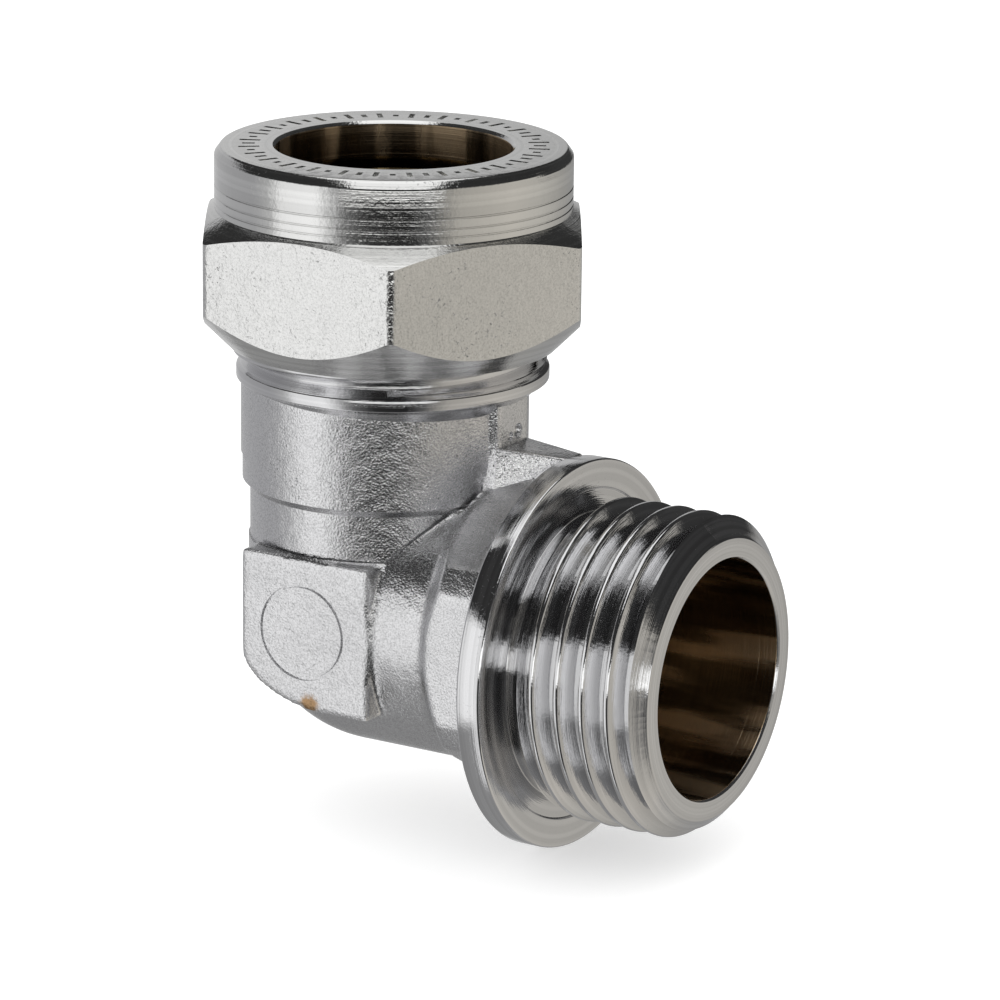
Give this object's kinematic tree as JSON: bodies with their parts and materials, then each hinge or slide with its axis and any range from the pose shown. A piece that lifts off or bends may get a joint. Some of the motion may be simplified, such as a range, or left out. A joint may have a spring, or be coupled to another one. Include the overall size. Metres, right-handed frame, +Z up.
{
  "type": "compression elbow fitting",
  "caption": "Right-angle plated brass pipe elbow: a compression nut and olive on the upright arm, a flanged male parallel thread on the other.",
  "frame": {"origin": "bottom centre of the fitting's box: straight below the middle of its length, on the plane that the flange's rim touches", "axes": "+Z up along the nut and tube axis, +X out along the threaded outlet's axis, +Y to the left of someone looking along +X"},
  "size_m": [0.0386, 0.0254, 0.0444],
  "materials": {
    "body_plating": "bright plated forging, fine orange-peel skin on the forged faces, turned lines on the threads and flange, bare brass streaks inside the bores",
    "nut_plating": "bright plated hexagon bar, satin flats, turned barrel and chamfers",
    "olive_brass": "bright turned soft brass, unplated"
  },
  "bodies": {
    "elbow_body": {"elbow_body": "body_plating"},
    "olive": {"olive": "olive_brass"},
    "compression_nut": {"compression_nut": "nut_plating"}
  },
  "joints": [
    {"name": "nut_turn", "type": "hinge", "parent": "elbow_body", "child": "olive", "pos_m": [-0.00546, 0, 0.03771], "axis": [0, 0, 1], "range_deg": [0, 1440]},
    {"name": "nut_lift", "type": "slide", "parent": "olive", "child": "compression_nut", "axis": [0, 0, 1], "range_m": [0, 0.00726]}
  ],
  "couplings": [
    {"joint": "nut_lift", "follows": "nut_turn", "m_per_rad": 0.00028871}
  ]
}
